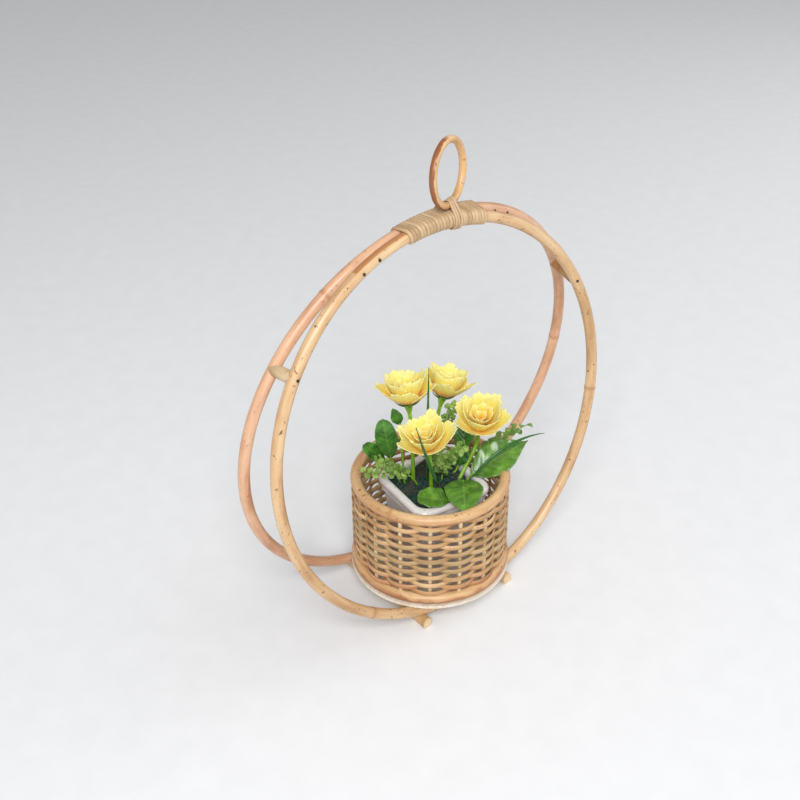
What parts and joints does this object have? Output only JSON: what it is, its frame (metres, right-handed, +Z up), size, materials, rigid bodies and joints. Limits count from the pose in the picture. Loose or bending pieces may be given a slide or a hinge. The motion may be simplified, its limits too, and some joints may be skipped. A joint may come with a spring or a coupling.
{
  "type": "hanging flower basket",
  "caption": "Hanging flower basket: two cane hoops bound at the top and spread at the foot carry a round woven basket that holds a small square glazed pot of artificial flowers",
  "frame": {"origin": "centre of the bounding box on the table, under the middle of the hoops", "axes": "+X along the hoops, +Y from the front hoop to the rear hoop, +Z up"},
  "size_m": [0.3568, 0.1408, 0.4106],
  "materials": {
    "front_cane": "smooth peeled rattan cane, satin",
    "rear_cane": "smooth peeled rattan cane, satin, pinkish",
    "rim_cane": "smooth peeled rattan cane, satin",
    "ring_cane": "thin bent cane, satin",
    "peeled_stick": "cut sticks, matt",
    "cane_peel": "flat strip of cane peel, satin",
    "stake_cane": "round core cane, matt",
    "weaver_cane": "woven core cane, matt",
    "thin_board": "pale thin board, matt",
    "nail_steel": "small wire nails, dull",
    "glazed_pot": "off-white glaze with dark specks",
    "dry_foam": "dry floral foam",
    "dyed_moss": "dark green dyed moss",
    "petal_cloth": "heat-formed cloth, yellow",
    "heart_cloth": "heat-formed cloth, orange yellow",
    "stem_plastic": "moulded stem over wire",
    "leaf_cloth": "heat-formed cloth leaf",
    "grass_plastic": "moulded grass blade",
    "sprig_plastic": "moulded sprig"
  },
  "bodies": {
    "basket_stand": {"base_board": "thin_board", "basket_stakes": "stake_cane", "board_nails": "nail_steel", "cross_bar_nails": "nail_steel", "foot_ring": "rim_cane", "foot_ring_tacks": "nail_steel", "front_hoop": "front_cane", "hanging_ring": "ring_cane", "hoop_binding": "cane_peel", "left_cross_bar": "peeled_stick", "left_spacer": "peeled_stick", "rear_hoop": "rear_cane", "right_cross_bar": "peeled_stick", "right_spacer": "peeled_stick", "rim_ring": "rim_cane", "ring_lashing": "cane_peel", "scarf_nails": "nail_steel", "spacer_nails": "nail_steel", "woven_wall": "weaver_cane"},
    "flower_pot": {"flat_leaf": "leaf_cloth", "foam_block": "dry_foam", "front_bloom_heart": "heart_cloth", "front_bloom_petals": "petal_cloth", "front_bloom_stem": "stem_plastic", "front_grass_blade": "grass_plastic", "heart_leaf": "leaf_cloth", "left_bloom_heart": "heart_cloth", "left_bloom_petals": "petal_cloth", "left_bloom_stem": "stem_plastic", "left_leaf": "leaf_cloth", "left_sprig": "sprig_plastic", "middle_leaf": "leaf_cloth", "middle_sprig": "sprig_plastic", "moss": "dyed_moss", "outer_left_leaf": "leaf_cloth", "pot": "glazed_pot", "rear_bloom_heart": "heart_cloth", "rear_bloom_petals": "petal_cloth", "rear_bloom_stem": "stem_plastic", "rear_sprig": "sprig_plastic", "right_bloom_heart": "heart_cloth", "right_bloom_petals": "petal_cloth", "right_bloom_stem": "stem_plastic", "right_grass_blade": "grass_plastic", "right_leaf": "leaf_cloth", "right_sprig": "sprig_plastic", "shaded_leaf": "leaf_cloth", "small_leaf": "leaf_cloth", "tall_grass_blade": "grass_plastic"}
  },
  "joints": [
    {"name": "pot_lift", "type": "slide", "parent": "basket_stand", "child": "flower_pot", "axis": [0, 0, 1], "range_m": [0, 0.1]}
  ]
}
